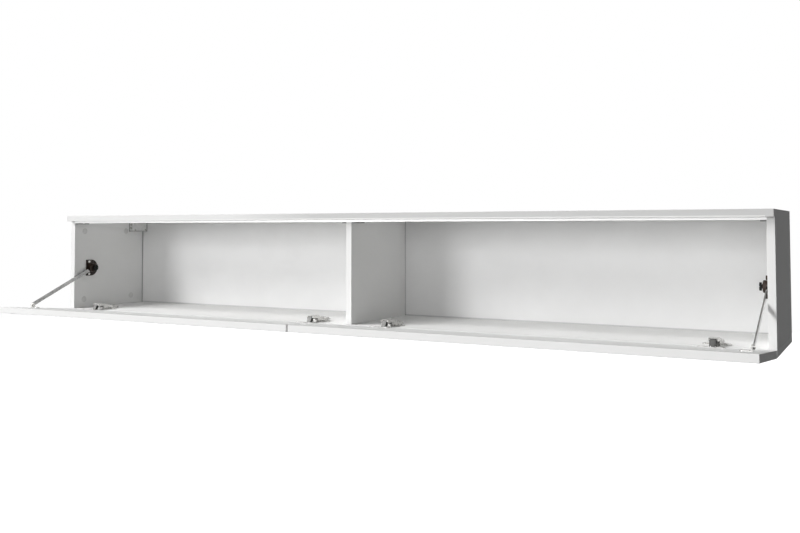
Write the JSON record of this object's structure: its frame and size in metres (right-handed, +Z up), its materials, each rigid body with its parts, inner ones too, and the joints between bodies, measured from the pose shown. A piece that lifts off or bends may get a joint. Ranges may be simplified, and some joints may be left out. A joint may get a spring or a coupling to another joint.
{
  "type": "wall-hung media console",
  "caption": "Long, low wall-hung media console: a white carcass in two open compartments, each closed by a drop-down flap held by a braked stay.",
  "frame": {"origin": "centre of the wall plates' four screw holes, on the wall's surface", "axes": "+X along the console's length to the right as seen from the room, +Y into the wall, +Z up"},
  "size_m": [2, 0.5534, 0.2964],
  "materials": {
    "white_melamine": "matt white melamine-faced particle board with thin edge banding",
    "white_hardboard": "smooth white-lacquered hardboard",
    "white_plastic": "moulded white plastic, fine matt grain",
    "dark_brown_plastic": "moulded dark brown plastic, fine matt grain",
    "black_plastic": "moulded black plastic",
    "grey_steel": "drawn flat steel bar, nickel-plated, slightly worn where it slides",
    "nickel_steel": "pressed steel, nickel-plated",
    "zinc_plated_steel": "pressed steel, zinc-plated",
    "bright_screws": "bright plated screws and rivets",
    "zinc": "die-cast zinc",
    "beech": "fluted beech, bare"
  },
  "bodies": {
    "carcass": {"back_panel_joiner": "white_plastic", "bottom_panel": "white_melamine", "cam_bolts": "bright_screws", "cam_covers": "white_plastic", "cam_locks": "zinc", "corner_block_screws": "bright_screws", "corner_blocks": "white_plastic", "divider_panel": "white_melamine", "dowels": "beech", "hanger_adjusting_screws": "bright_screws", "hanger_fixing_screws": "bright_screws", "hanger_hooks": "zinc_plated_steel", "hanger_housings": "white_plastic", "hinge_arm_pins": "bright_screws", "hinge_arm_screws": "bright_screws", "hinge_arms": "nickel_steel", "hinge_mounting_plates": "nickel_steel", "hinge_plate_screws": "bright_screws", "left_back_panel": "white_hardboard", "left_front_trim": "white_melamine", "left_side_panel": "white_melamine", "right_back_panel": "white_hardboard", "right_front_trim": "white_melamine", "right_side_panel": "white_melamine", "stay_base_plates": "dark_brown_plastic", "stay_base_screws": "bright_screws", "top_panel": "white_melamine", "wall_plates": "zinc_plated_steel"},
    "left_flap": {"left_flap": "white_melamine", "left_hinge_cup_pins": "bright_screws", "left_hinge_cup_screws": "bright_screws", "left_hinge_cups": "nickel_steel", "left_stay_bracket": "nickel_steel", "left_stay_bracket_pin": "bright_screws", "left_stay_bracket_screws": "bright_screws"},
    "left_outer_links": {"left_hinge_outer_links": "nickel_steel"},
    "left_inner_links": {"left_hinge_inner_links": "nickel_steel"},
    "left_stay_bar": {"left_stay_bar": "grey_steel"},
    "left_stay_drum": {"left_stay_brake_drum": "dark_brown_plastic"},
    "left_stay_knob": {"left_stay_brake_knob": "black_plastic"},
    "right_flap": {"right_flap": "white_melamine", "right_hinge_cup_pins": "bright_screws", "right_hinge_cup_screws": "bright_screws", "right_hinge_cups": "nickel_steel", "right_stay_bracket": "nickel_steel", "right_stay_bracket_pin": "bright_screws", "right_stay_bracket_screws": "bright_screws"},
    "right_outer_links": {"right_hinge_outer_links": "nickel_steel"},
    "right_inner_links": {"right_hinge_inner_links": "nickel_steel"},
    "right_stay_bar": {"right_stay_bar": "grey_steel"},
    "right_stay_drum": {"right_stay_brake_drum": "dark_brown_plastic"},
    "right_stay_knob": {"right_stay_brake_knob": "black_plastic"}
  },
  "joints": [
    {"name": "left_flap_hinge", "type": "hinge", "parent": "carcass", "child": "left_flap", "pos_m": [-0.501, -0.302, -0.2345], "axis": [-1, 0, 0], "range_deg": [0, 84.6]},
    {"name": "left_outer_link_pivot", "type": "hinge", "parent": "carcass", "child": "left_outer_links", "pos_m": [-0.501, -0.2955, -0.2095], "axis": [-1, 0, 0], "range_deg": [-23.6, 0]},
    {"name": "left_inner_link_pivot", "type": "hinge", "parent": "carcass", "child": "left_inner_links", "pos_m": [-0.501, -0.2993, -0.2102], "axis": [-1, 0, 0], "range_deg": [-37.7, 0]},
    {"name": "left_stay_foot_pivot", "type": "hinge", "parent": "left_flap", "child": "left_stay_bar", "pos_m": [-0.977, -0.44603, -0.2015], "axis": [-1, 0, 0], "range_deg": [-45, 0]},
    {"name": "left_stay_brake_pivot", "type": "hinge", "parent": "carcass", "child": "left_stay_drum", "pos_m": [-0.976, -0.226, -0.1035], "axis": [-1, 0, 0], "range_deg": [0, 40.1]},
    {"name": "left_brake_knob_turn", "type": "hinge", "parent": "left_stay_drum", "child": "left_stay_knob", "pos_m": [-0.968, -0.226, -0.1035], "axis": [-1, 0, 0], "range_deg": [-90, 90]},
    {"name": "right_flap_hinge", "type": "hinge", "parent": "carcass", "child": "right_flap", "pos_m": [0.501, -0.302, -0.2345], "axis": [-1, 0, 0], "range_deg": [0, 84.6]},
    {"name": "right_outer_link_pivot", "type": "hinge", "parent": "carcass", "child": "right_outer_links", "pos_m": [0.501, -0.2955, -0.2095], "axis": [-1, 0, 0], "range_deg": [-23.6, 0]},
    {"name": "right_inner_link_pivot", "type": "hinge", "parent": "carcass", "child": "right_inner_links", "pos_m": [0.501, -0.2993, -0.2102], "axis": [-1, 0, 0], "range_deg": [-37.7, 0]},
    {"name": "right_stay_foot_pivot", "type": "hinge", "parent": "right_flap", "child": "right_stay_bar", "pos_m": [0.977, -0.44603, -0.2015], "axis": [-1, 0, 0], "range_deg": [-45, 0]},
    {"name": "right_stay_brake_pivot", "type": "hinge", "parent": "carcass", "child": "right_stay_drum", "pos_m": [0.976, -0.226, -0.1035], "axis": [-1, 0, 0], "range_deg": [0, 40.1]},
    {"name": "right_brake_knob_turn", "type": "hinge", "parent": "right_stay_drum", "child": "right_stay_knob", "pos_m": [0.968, -0.226, -0.1035], "axis": [-1, 0, 0], "range_deg": [-90, 90]}
  ],
  "couplings": [
    {"joint": "left_outer_link_pivot", "follows": "left_flap_hinge", "ratio": -0.27788},
    {"joint": "left_inner_link_pivot", "follows": "left_flap_hinge", "ratio": -0.44444},
    {"joint": "left_stay_foot_pivot", "follows": "left_flap_hinge", "ratio": -0.52724},
    {"joint": "left_stay_brake_pivot", "follows": "left_flap_hinge", "ratio": 0.47276},
    {"joint": "right_outer_link_pivot", "follows": "right_flap_hinge", "ratio": -0.27788},
    {"joint": "right_inner_link_pivot", "follows": "right_flap_hinge", "ratio": -0.44444},
    {"joint": "right_stay_foot_pivot", "follows": "right_flap_hinge", "ratio": -0.52724},
    {"joint": "right_stay_brake_pivot", "follows": "right_flap_hinge", "ratio": 0.47276}
  ]
}
